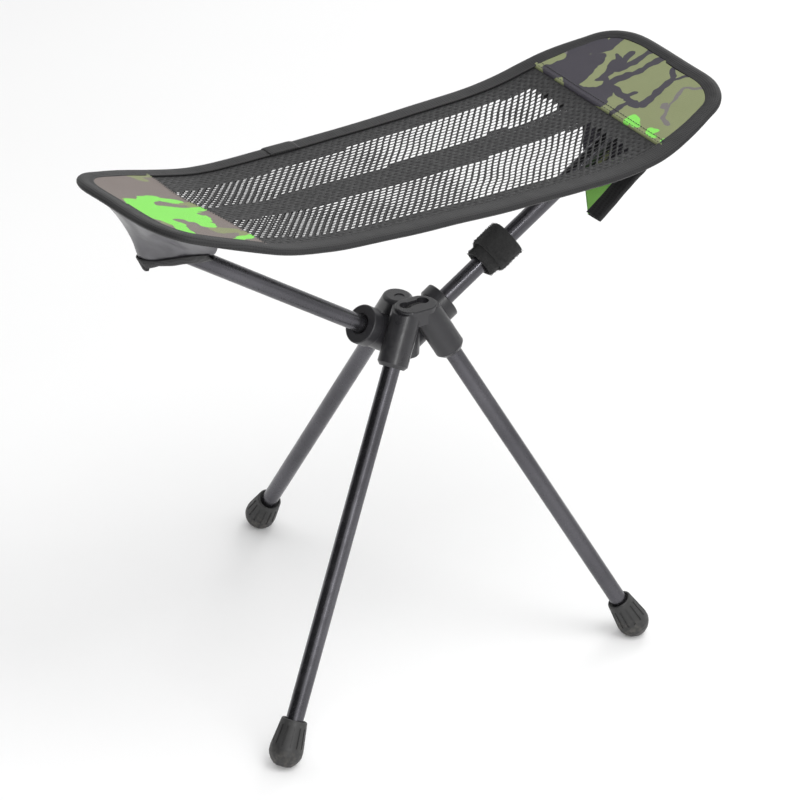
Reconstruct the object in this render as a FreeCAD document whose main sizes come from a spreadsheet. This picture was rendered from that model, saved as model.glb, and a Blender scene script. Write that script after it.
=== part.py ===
# Folding camp stool: three tube legs and two rising tube arms plug into one moulded hub,
# and a mesh sling with stiff ends hangs between the tips of the arms.
#
# Frame: millimetres, +Z up, the ground at Z = 0, +X along the sling, the single back leg towards +Y.
# The origin is at the middle of the footprint, on the ground. The two arms lie in the plane
# Y = arm_plane_y, and the stool is symmetric about X = 0.
import FreeCAD
import Part
import Sketcher
import math
import os
from FreeCAD import Placement, Rotation, Vector

SIZES = (
    # alias, value, what it is
    ("arm_plane_y", -43.23, "plane of the two arms and middle of the sling"),
    ("tube_radius", 7.0, "outside radius of every tube"),
    ("tube_wall", 0.8, "tube wall"),
    ("socket_clearance", 0.08, "radial clearance of a tube in its socket"),
    ("socket_depth", 34.0, "length of tube held in a socket"),
    ("apex_height", 331.5, "height where distances along the leg axes start"),
    ("leg_tilt", 32.2, "angle of each leg from the vertical"),
    ("front_leg_angle", 29.07, "plan angle between a front leg and the X axis"),
    ("front_cross_x", 2.88, "front leg axes cross over: sideways offset at apex height"),
    ("front_cross_y", -10.99, "front leg axes: offset from the arm plane at apex height"),
    ("back_cross_y", -6.0, "back leg axis: offset from the arm plane at apex height"),
    ("leg_socket_end", 68.0, "mouth of a leg socket, along the leg axis"),
    ("leg_socket_start", 4.0, "upper end of a leg socket, along the leg axis"),
    ("leg_socket_radius", 12.3, "outside radius of a front leg socket"),
    ("back_socket_radius", 11.8, "outside radius of the back leg socket"),
    ("socket_chamfer", 3.0, "length of the chamfer round the mouth of a leg socket"),
    ("front_top", 317.5, "height of the flat top of the rim plate over the front sockets"),
    ("front_shoulder", 314.9, "height where the front sockets are cut level under that plate"),
    ("back_top", 314.5, "height of the flat top over the back socket"),
    ("back_top_radius", 3.2, "rounding of the back socket's top edge"),
    ("plate_radius", 12.2, "radius of each end of the rim plate"),
    ("plate_reach", 5.4, "distance of each end's centre from the middle of the plate"),
    ("plate_thickness", 4.6, "thickness of the rim plate"),
    ("plate_centre_height", 309.0, "height on the front leg axes that the plate is centred between"),
    ("web_reach", 5.2, "distance of each end's centre from the middle of the web under the plate"),
    ("web_radius", 11.2, "radius of each end of that web"),
    ("web_low", 303.5, "underside of that web"),
    ("plate_edge_radius", 1.0, "rounding of the rim plate's top edge"),
    ("recess_depth", 4.2, "depth of the cord recess in the rim plate"),
    ("well_radius", 4.9, "radius of each round end of the cord recess"),
    ("well_reach", 8.2, "distance of each round end from the middle of the plate"),
    ("slot_width", 6.4, "width of the cord recess between its round ends"),
    ("mark_radius", 4.1, "radius of the shallow round mark on the back socket's top"),
    ("mark_depth", 0.7, "depth of that mark"),
    ("core_radius", 11.5, "radius of the column at the middle of the hub"),
    ("core_low", 269.0, "underside of that column"),
    ("core_high", 312.0, "top of that column"),
    ("foot_rim", 353.0, "rim of a foot, along the leg axis"),
    ("foot_length", 38.0, "length of a foot"),
    ("foot_rim_radius", 10.4, "radius of a foot at its rim"),
    ("foot_max_radius", 13.5, "largest radius of a foot"),
    ("foot_bore_depth", 26.0, "depth of the bore in a foot"),
    ("foot_fit", 0.02, "radial clearance of a tube in its foot, and of a plug in its tube"),
    ("foot_flutes", 14, "shallow flutes round a foot"),
    ("flute_width", 1.5, "width of each flute"),
    ("plug_length", 11.9, "cord plug in the lower end of a leg tube"),
    ("cap_insert", 12.0, "length of an arm cap that is inside its tube"),
    ("arm_cross_height", 276.95, "height where the two arm axes meet"),
    ("arm_slope", 32.95, "angle of each arm above the horizontal"),
    ("arm_socket_end", 48.0, "mouth of an arm socket, along the arm axis"),
    ("arm_socket_radius", 14.2, "outside radius of an arm socket"),
    ("flange_radius", 15.9, "radius of the flange round the mouth of an arm socket"),
    ("flange_width", 10.5, "width of that flange"),
    ("flange_rounding", 1.2, "rounding of the flange's edges"),
    ("mouth_recess", 1.7, "how much wider than the tube the recess in the flange is"),
    ("mouth_recess_depth", 3.0, "depth of that recess"),
    ("arm_tip", 286.0, "tip of an arm, along the arm axis"),
    ("cap_length", 9.0, "visible length of the cap on an arm tip"),
    ("cord_radius", 1.5, "radius of the elastic cord in the tubes"),
    ("cord_hole_radius", 2.3, "radius of a cord hole through the hub"),
    ("back_cord_start", 26.0, "upper end of the back cord's hole, along the leg axis"),
    ("front_cord_bend", 4.0, "bend radius of the front legs' cord in its recess"),
    ("arm_cord_bend", 3.0, "bend radius of the arms' cord where the arms meet"),
    ("cord_end_gap", 0.5, "gap between a cord's end and the plug or cap it is tied to"),
    ("seat_middle_height", 424.5, "height of the sling at its middle"),
    ("seat_sag", 2.2, "how far the middle hangs below the place where the ends start to rise"),
    ("seat_half_length", 263.0, "half length of the sling"),
    ("seat_half_width", 95.0, "half width of the sling"),
    ("seat_end_half_width", 80.0, "half width of the sling where its corners begin"),
    ("seat_corner_start", 232.0, "distance from the middle where the corners begin"),
    ("seat_taper_start", 186.0, "distance from the middle where the sides start to narrow"),
    ("seam_distance", 183.2, "seam between the mesh and an end panel"),
    ("seat_bend_start", 118.0, "distance from the middle where the sling starts to rise"),
    ("seat_end_slope", 17.0, "slope of the stiff ends"),
    ("mesh_thickness", 1.6, "thickness of the mesh"),
    ("panel_thickness", 1.0, "thickness of an end panel"),
    ("board_thickness", 1.6, "thickness of a stiffener board"),
    ("board_margin", 4.0, "distance of a stiffener board from the seam"),
    ("binding_width", 12.5, "visible width of the edge binding"),
    ("binding_thickness", 4.4, "thickness of the edge binding round the sling's edge"),
    ("lap_start", -74.0, "left end of the lap where the binding's ends meet"),
    ("lap_length", 28.0, "length of that lap"),
    ("pocket_gap", 3.0, "height of a pocket's top edge below the middle of the sling"),
    ("pocket_tape_width", 11.0, "width of the tape on a pocket's free edge"),
    ("pocket_tape_thickness", 2.4, "thickness of that tape"),
    ("flap_mouth", 175.0, "middle of the right pocket's mouth, from the middle of the sling"),
    ("flap_mouth_slant", 31.0, "how much nearer its near corner is, and how much farther its far one"),
    ("flap_half_width", 46.0, "half width of that mouth"),
    ("flap_knee", 244.0, "where the right pocket turns up to the sling's end"),
    ("flap_knee_slant", 2.0, "how much nearer the near side of that turn is, and farther the far one"),
    ("flap_knee_half_width", 40.0, "half width of that turn"),
    ("flap_top", 252.0, "where the right pocket meets the underside of the sling's end"),
    ("flap_clearance", 2.2, "gap between the right pocket and the arm above it"),
    ("strap_start", 88.0, "lower end of the strap, along the right arm's axis"),
    ("strap_width", 25.0, "width of the strap tape"),
    ("strap_slack", 3.4, "gap between the tube and the flat inside of the strap"),
    ("strap_corner", 5.0, "how much each corner of the strap's square section is cut off"),
    ("strap_offset", 11.0, "sideways offset between the two turns of the strap"),
    ("strap_thickness", 2.6, "thickness of one turn of the strap"),
    ("cloth_gap", 0.3, "clear gap between pieces that touch on the real stool"),
)

doc = FreeCAD.newDocument("camp_stool")
sheet = doc.addObject("Spreadsheet::Sheet", "Sizes")
for row, (alias, value, note) in enumerate(SIZES, start=1):
    sheet.set(f"A{row}", note)
    sheet.set(f"B{row}", str(value))
    sheet.setAlias(f"B{row}", alias)
doc.recompute()


def size(alias):
    return float(sheet.get(alias))


def cell(alias):
    return f"{sheet.Name}.{alias}"


def finish(obj, label):
    """Give a sub-part its own label, which names its file."""
    obj.Label = label
    SUB_PARTS.append(obj)
    return obj


SUB_PARTS = []
SIDES = ("left", "right")
LEGS = ("left", "right", "back")


# ---------------------------------------------------------------- axes of the frame
def leg_axis(name):
    """Start point at apex height, and direction down the leg."""
    tilt = math.radians(size("leg_tilt"))
    if name == "back":
        start = Vector(0, size("arm_plane_y") + size("back_cross_y"), size("apex_height"))
        return start, Vector(0, math.sin(tilt), -math.cos(tilt))
    side = -1 if name == "left" else 1
    plan = math.radians(size("front_leg_angle"))
    start = Vector(
        -side * size("front_cross_x"), size("arm_plane_y") + size("front_cross_y"), size("apex_height")
    )
    outward = side * math.sin(tilt) * math.cos(plan)
    return start, Vector(outward, -math.sin(tilt) * math.sin(plan), -math.cos(tilt))


def arm_axis(name):
    """Meeting point of the two arms, and direction up the arm."""
    side = -1 if name == "left" else 1
    slope = math.radians(size("arm_slope"))
    start = Vector(0, size("arm_plane_y"), size("arm_cross_height"))
    return start, Vector(side * math.cos(slope), 0, math.sin(slope))


def along(axis, distance):
    """Placement whose local +Z runs along an axis, with its origin at a distance from the start."""
    start, direction = axis
    return Placement(start + direction * distance, Rotation(Vector(0, 0, 1), direction))


def point_on(axis, distance):
    start, direction = axis
    return start + direction * distance


def axis_at_height(axis, height):
    """Where an axis passes a height."""
    start, direction = axis
    return start + direction * ((height - start.z) / direction.z)


def front_socket_centre(side, height):
    """Where a front leg's axis passes a height: side is -1 for the left leg, 1 for the right."""
    return axis_at_height(leg_axis("left" if side < 0 else "right"), height)


# ---------------------------------------------------------------- modelling helpers
def amount(text):
    """Value and expression of a sum of sizes, such as "foot_length - 2*cap_length"."""
    total, sign, words = 0.0, 1.0, []
    for word in text.split():
        if word in ("+", "-"):
            sign = 1.0 if word == "+" else -1.0
            words.append(word)
            continue
        factor, _, name = word.rpartition("*")
        scale = float(factor) if factor else 1.0
        plain = name[0].isdigit()
        total += sign * scale * (float(name) if plain else size(name))
        words.append(f"{scale} * {name if plain else cell(name)}")
        sign = 1.0
    return total, " ".join(words)


def span(start, end):
    """Expression of the distance between two sums of sizes."""
    return f"({amount(end)[1]}) - ({amount(start)[1]})"


def origin_feature(body, role):
    for feature in body.Origin.OriginFeatures:
        if feature.Role == role:
            return feature
    raise ValueError(role)


def new_body(name):
    return doc.addObject("PartDesign::Body", name)


def new_sketch(body, name, role):
    sketch = body.newObject("Sketcher::SketchObject", name)
    sketch.AttachmentSupport = [(origin_feature(body, role), "")]
    sketch.MapMode = "FlatFace"
    return sketch


def circle(sketch, radius):
    """Circle round the sketch's origin, its radius bound to the sheet."""
    value, expression = amount(radius)
    index = sketch.addGeometry(Part.Circle(Vector(0, 0, 0), Vector(0, 0, 1), value), False)
    sketch.addConstraint(Sketcher.Constraint("Coincident", index, 3, -1, 1))
    number = sketch.addConstraint(Sketcher.Constraint("Radius", index, value))
    sketch.setExpression(f"Constraints[{number}]", expression)


def outline(sketch, corners):
    """Closed straight-sided outline; each corner is two sums of sizes from the sketch's origin."""
    places = [(amount(across), amount(up)) for across, up in corners]
    count = len(places)
    first = sketch.GeometryCount
    for index in range(count):
        (x1, _), (y1, _) = places[index]
        (x2, _), (y2, _) = places[(index + 1) % count]
        sketch.addGeometry(Part.LineSegment(Vector(x1, y1, 0), Vector(x2, y2, 0)), False)
    for index, ((x, x_sum), (y, y_sum)) in enumerate(places):
        line, following = first + index, first + (index + 1) % count
        sketch.addConstraint(Sketcher.Constraint("Coincident", line, 2, following, 1))
        hold(sketch, line, "DistanceX", -2, x, x_sum)
        hold(sketch, line, "DistanceY", -1, y, y_sum)


def hold(sketch, line, kind, axis, value, expression):
    """Keep the start of a line at a bound distance from the origin, or on the axis itself."""
    if value == 0:
        sketch.addConstraint(Sketcher.Constraint("PointOnObject", line, 1, axis))
        return
    number = sketch.addConstraint(Sketcher.Constraint(kind, -1, 1, line, 1, value))
    sketch.setExpression(f"Constraints[{number}]", expression)


def turned(name, corners):
    """Body turned round its own Z axis from a half outline of (radius, height) corners."""
    body = new_body(name)
    sketch = new_sketch(body, f"{name}_outline", "XZ_Plane")
    outline(sketch, corners)
    turn = body.newObject("PartDesign::Revolution", f"{name}_turn")
    turn.Profile = sketch
    turn.ReferenceAxis = (origin_feature(body, "Z_Axis"), [""])
    turn.Angle = 360.0
    body.Tip = turn
    return body


def tube(name, axis, start, end):
    """Plain tube between two distances along an axis."""
    body = new_body(name)
    sketch = new_sketch(body, f"{name}_section", "XY_Plane")
    circle(sketch, "tube_radius")
    circle(sketch, "tube_radius - tube_wall")
    pad = body.newObject("PartDesign::Pad", f"{name}_pad")
    pad.Profile = sketch
    pad.setExpression("Length", span(start, end))
    body.Placement = along(axis, amount(start)[0])
    return finish(body, name)


def rod(name, axis, start, end, radius, end_radius=None):
    """Plain round bar, or a cone, between two distances along an axis; a tool for the hub."""
    kind = "Part::Cone" if end_radius else "Part::Cylinder"
    bar = doc.addObject(kind, name)
    if end_radius:
        bar.setExpression("Radius1", amount(radius)[1])
        bar.setExpression("Radius2", amount(end_radius)[1])
    else:
        bar.setExpression("Radius", amount(radius)[1])
    bar.setExpression("Height", span(start, end))
    bar.Placement = along(axis, amount(start)[0])
    return bar


def fused(name, shapes, refine=False):
    join = doc.addObject("Part::MultiFuse", name)
    join.Shapes = shapes
    join.Refine = refine
    return join


def cut(name, base, tool):
    result = doc.addObject("Part::Cut", name)
    result.Base = base
    result.Tool = tool
    result.Refine = False
    return result


def block_above(name, height):
    """Large box whose underside is at a height."""
    block = doc.addObject("Part::Box", name)
    block.Length, block.Width, block.Height = 200, 200, 60
    block.Placement.Base = Vector(-100, size("arm_plane_y") - 100, size(height))
    return block


def edge_numbers(shape, test):
    return [number for number, edge in enumerate(shape.Edges, start=1) if test(edge)]


def is_round_edge(edge):
    return isinstance(edge.Curve, Part.Circle)


def is_level_edge(edge):
    return edge.BoundBox.ZLength < 0.01


def rounded(name, base, radius, test):
    """Fillet of one radius on the edges of a shape that a test picks."""
    doc.recompute()
    fillet = doc.addObject("Part::Fillet", name)
    fillet.Base = base
    fillet.Edges = [(number, radius, radius) for number in edge_numbers(base.Shape, test)]
    return fillet


# ---------------------------------------------------------------- hub
def leg_socket(name):
    """Outer shape of one leg socket, chamfered at the mouth."""
    axis = leg_axis(name)
    outer = "back_socket_radius" if name == "back" else "leg_socket_radius"
    chamfer_start = "leg_socket_end - socket_chamfer"
    barrel = rod(f"{name}_barrel", axis, "leg_socket_start", chamfer_start, outer)
    mouth = rod(
        f"{name}_mouth", axis, chamfer_start, "leg_socket_end", outer, f"{outer} - 0.8*socket_chamfer"
    )
    return fused(f"{name}_leg_socket", [barrel, mouth])


def arm_socket(name):
    """Outer shape of one arm socket with its flange."""
    axis = arm_axis(name)
    flange_start = "arm_socket_end - flange_width"
    barrel = rod(f"{name}_arm_barrel", axis, "- 4", f"{flange_start} + 1", "arm_socket_radius")
    flange = rod(f"{name}_flange", axis, flange_start, "arm_socket_end", "flange_radius")
    soft_flange = rounded(f"{name}_soft_flange", flange, size("flange_rounding"), is_round_edge)
    return fused(f"{name}_arm_socket", [barrel, soft_flange])


def between_front_sockets(height):
    """Place half-way between the two front leg axes at a height."""
    left, right = (front_socket_centre(side, height) for side in (-1, 1))
    return (left + right) / 2


def upright_disc(name, place, radius, low, high):
    """Vertical cylinder between two heights."""
    disc = doc.addObject("Part::Cylinder", name)
    disc.setExpression("Radius", amount(radius)[1])
    disc.setExpression("Height", span(low, high))
    disc.Placement.Base = Vector(place.x, place.y, amount(low)[0])
    return disc


def upright_stadium(name, middle, reach, end_radius, width, low, high):
    """Two discs and a box between them, round a place in the middle."""
    ends = [
        upright_disc(f"{name}_{side}", middle + Vector(sign * size(reach), 0, 0), end_radius, low, high)
        for side, sign in (("left", -1), ("right", 1))
    ]
    bar = doc.addObject("Part::Box", f"{name}_bar")
    bar.setExpression("Length", amount(f"2*{reach}")[1])
    bar.setExpression("Width", amount(width)[1])
    bar.setExpression("Height", span(low, high))
    bar.Placement.Base = Vector(middle.x - size(reach), middle.y - amount(width)[0] / 2, amount(low)[0])
    return fused(name, [*ends, bar], refine=True)


def top_plate():
    """Long rounded plate that stands proud of the two front sockets."""
    plate = upright_stadium(
        "plate", between_front_sockets(size("plate_centre_height")), "plate_reach", "plate_radius",
        "2*plate_radius", "front_top - plate_thickness", "front_top",
    )
    return rounded("soft_plate", plate, size("plate_edge_radius"), is_top_plate_edge)


def front_web():
    """Web that fills the notch between the two front sockets, under the rim plate."""
    return upright_stadium(
        "web", between_front_sockets(size("plate_centre_height")), "web_reach", "web_radius",
        "2*web_radius", "web_low", "front_shoulder",
    )


def hub_tools():
    """Everything that is cut out of the hub: sockets, mouths, cord holes and the cord recess."""
    tools = []
    for name in LEGS:
        axis = leg_axis(name)
        hole_start = "back_cord_start" if name == "back" else "2*leg_socket_start"
        tools.append(rod(
            f"{name}_bore", axis, "leg_socket_end - socket_depth", "leg_socket_end + 2",
            "tube_radius + socket_clearance",
        ))
        tools.append(rod(
            f"{name}_cord_hole", axis, hole_start, "leg_socket_end - socket_depth + 2", "cord_hole_radius"
        ))
    for name in SIDES:
        axis = arm_axis(name)
        tools.append(rod(
            f"{name}_arm_bore", axis, "arm_socket_end - socket_depth", "arm_socket_end + 2",
            "tube_radius + socket_clearance",
        ))
        tools.append(rod(
            f"{name}_arm_mouth", axis, "arm_socket_end - mouth_recess_depth", "arm_socket_end + 2",
            "tube_radius + mouth_recess",
        ))
        tools.append(rod(
            f"{name}_arm_cord_hole", axis, "- 1", "arm_socket_end - socket_depth + 2", "cord_hole_radius"
        ))
    recess = upright_stadium(
        "cord_recess", between_front_sockets(size("front_top")), "well_reach", "well_radius", "slot_width",
        "front_top - recess_depth", "front_top + 1",
    )
    mark_place = axis_at_height(leg_axis("back"), size("back_top"))
    mark = upright_disc("back_mark", mark_place, "mark_radius", "back_top - mark_depth", "back_top + 1")
    return [*tools, recess, mark]


def make_hub():
    back = cut("back_leg_socket_cut", leg_socket("back"), block_above("above_back_top", "back_top"))
    back_top = rounded("back_soft_top", back, size("back_top_radius"), is_back_top_edge)
    front = fused("front_sockets", [leg_socket("left"), leg_socket("right")])
    levelled = cut("front_sockets_cut", front, block_above("above_front_shoulder", "front_shoulder"))
    place = Vector(0, size("arm_plane_y") + size("back_cross_y"), 0)
    core = upright_disc("core", place, "core_radius", "core_low", "core_high")
    arms = [arm_socket(name) for name in SIDES]
    hub = fused("hub_outside", [back_top, levelled, *arms, core, front_web(), top_plate()])
    for tool in hub_tools():
        hub = cut(f"hub_less_{tool.Name}", hub, tool)
    return finish(hub, "hub")


def is_back_top_edge(edge):
    return is_level_edge(edge) and abs(edge.BoundBox.ZMax - size("back_top")) < 0.01


def is_top_plate_edge(edge):
    return is_level_edge(edge) and abs(edge.BoundBox.ZMax - size("front_top")) < 0.01


# ---------------------------------------------------------------- legs and feet
def foot_flutes(body):
    """Shallow grooves down the sloping side of a foot."""
    sketch = new_sketch(body, "flute_outline", "XZ_Plane")
    outline(sketch, (
        ("foot_rim_radius - 0.1", "5"),
        ("foot_rim_radius + 3", "5"),
        ("foot_max_radius + 2", "21"),
        ("foot_max_radius - 1", "21"),
    ))
    flute = body.newObject("PartDesign::Pocket", "flute")
    flute.Profile = sketch
    flute.SideType = "Symmetric"
    flute.setExpression("Length", cell("flute_width"))
    pattern = body.newObject("PartDesign::PolarPattern", "flutes")
    pattern.Originals = [flute]
    pattern.Axis = (origin_feature(body, "Z_Axis"), [""])
    pattern.Angle = 360.0
    pattern.setExpression("Occurrences", cell("foot_flutes"))
    body.Tip = pattern


def make_foot(name):
    """Rubber foot: recessed rim, widening body, rounded end worn flat where it meets the ground."""
    body = turned(f"foot_{name}_body", (
        ("0", "foot_bore_depth"),
        ("tube_radius + foot_fit", "foot_bore_depth"),
        ("tube_radius + foot_fit", "3"),
        ("tube_radius + 1.8", "2.2"),
        ("tube_radius + 1.9", "0"),
        ("foot_rim_radius - 0.6", "0"),
        ("foot_rim_radius", "0.8"),
        ("foot_max_radius - 0.1", "22.5"),
        ("foot_max_radius", "24"),
        ("foot_max_radius - 0.2", "28"),
        ("foot_max_radius - 1.3", "31"),
        ("foot_max_radius - 3.5", "34.2"),
        ("foot_max_radius - 6.3", "foot_length - 1.2"),
        ("foot_max_radius - 8.8", "foot_length - 0.3"),
        ("0", "foot_length"),
    ))
    foot_flutes(body)
    body.Placement = along(leg_axis(name), size("foot_rim"))
    ground = doc.addObject("Part::Box", f"ground_under_{name}")
    ground.Length, ground.Width, ground.Height = 800, 800, 50
    ground.Placement.Base = Vector(-400, -400, -50)
    return finish(cut(f"foot_{name}_cut", body, ground), f"foot_{name}")


def make_plug(name):
    """Plug pressed into the lower end of a leg tube, where the elastic cord is tied."""
    plug = turned(f"plug_{name}_body", (
        ("0", "0"),
        ("tube_radius - tube_wall - 0.7", "0"),
        ("tube_radius - tube_wall - foot_fit", "1"),
        ("tube_radius - tube_wall - foot_fit", "plug_length"),
        ("0", "plug_length"),
    ))
    plug.Placement = along(leg_axis(name), amount("foot_rim + foot_bore_depth - plug_length - 0.1")[0])
    return finish(plug, f"cord_plug_{name}")


def make_leg(name):
    tube(
        f"leg_tube_{name}", leg_axis(name), "leg_socket_end - socket_depth",
        "foot_rim + foot_bore_depth",
    )
    make_foot(name)
    make_plug(name)


# ---------------------------------------------------------------- arms
def make_arm(name):
    tube(
        f"arm_tube_{name}", arm_axis(name), "arm_socket_end - socket_depth",
        "arm_tip - cap_length",
    )
    cap = turned(f"cap_{name}_body", (
        ("0", "0"),
        ("tube_radius - tube_wall - 0.7", "0"),
        ("tube_radius - tube_wall - foot_fit", "1"),
        ("tube_radius - tube_wall - foot_fit", "cap_insert"),
        ("tube_radius + 0.6", "cap_insert"),
        ("tube_radius + 0.6", "cap_insert + cap_length - 4"),
        ("tube_radius - 0.8", "cap_insert + cap_length - 1.4"),
        ("tube_radius - 3.4", "cap_insert + cap_length - 0.2"),
        ("0", "cap_insert + cap_length"),
    ))
    cap.Placement = along(arm_axis(name), amount("arm_tip - cap_length - cap_insert")[0])
    finish(cap, f"arm_cap_{name}")


# ---------------------------------------------------------------- elastic cords
def routed_wire(points, bend_radius):
    """Straight runs joined by tangent arcs of one radius."""
    edges = []
    start = points[0]
    for before, corner, after in zip(points, points[1:], points[2:]):
        inward = (before - corner).normalize()
        outward = (after - corner).normalize()
        half_turn = (math.pi - inward.getAngle(outward)) / 2
        reach = bend_radius * math.tan(half_turn)
        arc_start = corner + inward * reach
        arc_end = corner + outward * reach
        bisector = (inward + outward).normalize()
        middle = corner + bisector * (bend_radius / math.cos(half_turn) - bend_radius)
        edges.append(Part.LineSegment(start, arc_start).toShape())
        edges.append(Part.Arc(arc_start, middle, arc_end).toShape())
        start = arc_end
    edges.append(Part.LineSegment(start, points[-1]).toShape())
    return Part.Wire(edges)


def cord_solid(points, bend_radius):
    wire = routed_wire(points, bend_radius)
    radius = size("cord_radius")
    direction = (points[1] - points[0]).normalize()
    section = Part.Wire([Part.Circle(points[0], direction, radius).toShape()])
    solid = wire.makePipeShell([section], True, False)
    expected = math.pi * radius ** 2 * wire.Length
    if abs(solid.Volume - expected) > 0.01 * expected:
        raise ValueError("cord volume")
    return solid


def shape_part(label, shape):
    part = doc.addObject("Part::Feature", label)
    part.Shape = shape
    return finish(part, label)


def make_cords():
    """One cord through both front legs, one through both arms and one down the back leg."""
    low = amount("foot_rim + foot_bore_depth - plug_length - cord_end_gap")[0]
    turn_height = amount("front_top - 2")[0]
    left, right = (leg_axis(side) for side in SIDES)
    corners = [front_socket_centre(side, turn_height) for side in (-1, 1)]
    front = [point_on(left, low), *corners, point_on(right, low)]
    shape_part("front_leg_cord", cord_solid(front, size("front_cord_bend")))

    back = leg_axis("back")
    top = size("back_cord_start") + size("cord_end_gap")
    run = Part.makeCylinder(size("cord_radius"), low - top, point_on(back, top), back[1])
    shape_part("back_leg_cord", run)

    reach = amount("arm_tip - cap_length - cap_insert - cord_end_gap")[0]
    arms = [point_on(arm_axis("left"), reach), arm_axis("left")[0], point_on(arm_axis("right"), reach)]
    shape_part("arm_cord", cord_solid(arms, size("arm_cord_bend")))


# ---------------------------------------------------------------- sling
def sling_line(offset):
    """Edges of the sling's long section, left to right, a height above its middle surface."""
    middle = size("seat_middle_height") + offset
    bend = size("seat_bend_start")
    straight = size("seat_taper_start")
    end = size("seat_half_length")
    slope = math.tan(math.radians(size("seat_end_slope")))
    sag = size("seat_sag")
    entry = 2 * sag / bend
    bend_height = middle + sag
    straight_height = bend_height + (entry + slope) / 2 * (straight - bend)
    half = (straight - bend) / 2
    mid_height = bend_height + entry * half + (slope - entry) / (straight - bend) * half ** 2 / 2
    end_height = straight_height + slope * (end - straight)
    left = [
        Part.LineSegment(Vector(-end, 0, end_height), Vector(-straight, 0, straight_height)),
        Part.Arc(
            Vector(-straight, 0, straight_height), Vector(-bend - half, 0, mid_height),
            Vector(-bend, 0, bend_height),
        ),
    ]
    centre = Part.Arc(Vector(-bend, 0, bend_height), Vector(0, 0, middle), Vector(bend, 0, bend_height))
    right = [
        Part.Arc(
            Vector(bend, 0, bend_height), Vector(bend + half, 0, mid_height),
            Vector(straight, 0, straight_height),
        ),
        Part.LineSegment(Vector(straight, 0, straight_height), Vector(end, 0, end_height)),
    ]
    return [curve.toShape() for curve in left + [centre] + right]


def sling_slab(low, high):
    """Full-size curved slab between two heights above the sling's middle surface."""
    under = Part.Wire(sling_line(low))
    over = Part.Wire(sling_line(high))
    first, last = (under.OrderedVertexes[i].Point for i in (0, -1))
    first_up, last_up = (over.OrderedVertexes[i].Point for i in (0, -1))
    ends = [Part.LineSegment(first, first_up).toShape(), Part.LineSegment(last, last_up).toShape()]
    face = Part.Face(Part.Wire(Part.__sortEdges__(under.Edges + over.Edges + ends)))
    reach = size("seat_half_width") + 10
    face.translate(Vector(0, size("arm_plane_y") - reach, 0))
    return face.extrude(Vector(0, 2 * reach, 0))


def sling_plan(inset):
    """Upright prism of the sling's plan outline, drawn in by an inset all round."""
    side = size("seat_half_width") - inset
    taper = size("seat_taper_start") - 0.2 * inset
    corner = size("seat_corner_start") - 0.5 * inset
    narrow = size("seat_end_half_width") - 0.9 * inset
    end = size("seat_half_length") - inset
    flat = size("seat_end_half_width") * 0.5 - 0.3 * inset
    swell = (corner + 0.72 * (end - corner), narrow - 0.42 * (narrow - flat))
    edges = []
    for sign in (1, -1):
        points = [Vector(sign * x, sign * y, 0) for x, y in (
            (-taper, side), (taper, side), (corner, narrow), swell, (end, flat),
            (end, -flat), (swell[0], -swell[1]), (corner, -narrow), (taper, -side),
        )]
        edges.append(Part.LineSegment(points[0], points[1]).toShape())
        edges.append(Part.LineSegment(points[1], points[2]).toShape())
        edges.append(Part.Arc(points[2], points[3], points[4]).toShape())
        edges.append(Part.LineSegment(points[4], points[5]).toShape())
        edges.append(Part.Arc(points[5], points[6], points[7]).toShape())
        edges.append(Part.LineSegment(points[7], points[8]).toShape())
    outline_face = Part.Face(Part.Wire(Part.__sortEdges__(edges)))
    outline_face.translate(Vector(0, size("arm_plane_y"), size("seat_middle_height") - 40))
    return outline_face.extrude(Vector(0, 0, 120))


def across(start, end):
    """Tall box over the whole width of the sling between two distances from the middle."""
    corner = Vector(start, size("arm_plane_y") - 200, 0)
    return Part.makeBox(end - start, 400, 1000, corner)


def make_sling():
    gap = size("cloth_gap")
    inset = size("binding_width") + gap
    seam = size("seam_distance")
    end = size("seat_half_length")
    half_mesh = size("mesh_thickness") / 2
    inner_plan = sling_plan(inset)
    mesh = sling_slab(-half_mesh, half_mesh).common(inner_plan).common(across(-seam + gap, seam - gap))
    shape_part("seat_mesh", mesh)
    panel_top = half_mesh + size("panel_thickness")
    panel = sling_slab(half_mesh, panel_top).common(inner_plan)
    board_top = half_mesh - gap
    board = sling_slab(board_top - size("board_thickness"), board_top).common(sling_plan(inset + 2))
    margin = size("board_margin")
    for name, low, high in (("left", -end, -seam), ("right", seam, end)):
        shape_part(f"end_panel_{name}", panel.common(across(low, high)))
        shape_part(f"end_board_{name}", board.common(across(low + margin, high - margin)))
    half = size("binding_thickness") / 2
    ring = sling_slab(-half, half).common(sling_plan(0).cut(sling_plan(size("binding_width"))))
    shape_part("edge_binding", ring)
    band = sling_plan(0.4).cut(sling_plan(size("binding_width") - 0.4))
    start = size("lap_start")
    lap = sling_slab(half + 0.1, half + 0.8).common(band)
    lap = lap.common(across(start, start + size("lap_length")))
    far_side = Part.makeBox(600, 200, 1000, Vector(-300, size("arm_plane_y"), 0))
    shape_part("binding_lap", lap.common(far_side))


# ---------------------------------------------------------------- pockets under the arm tips
def sling_height(x):
    """Height of the sling's middle surface on its stiff ends."""
    slope = math.tan(math.radians(size("seat_end_slope")))
    entry = 2 * size("seat_sag") / size("seat_bend_start")
    rise = (entry + slope) / 2 * (size("seat_taper_start") - size("seat_bend_start"))
    start = size("seat_middle_height") + size("seat_sag") + rise
    return start + slope * (abs(x) - size("seat_taper_start"))


def under_arm(x, gap):
    """Height of a line a gap below the underside of an arm."""
    slope = math.radians(size("arm_slope"))
    drop = (size("tube_radius") + gap) / math.cos(slope)
    return size("arm_cross_height") + math.tan(slope) * abs(x) - drop


ACROSS_FLAP = (-1.0, -0.5, 0.0, 0.5, 1.0)


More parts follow.
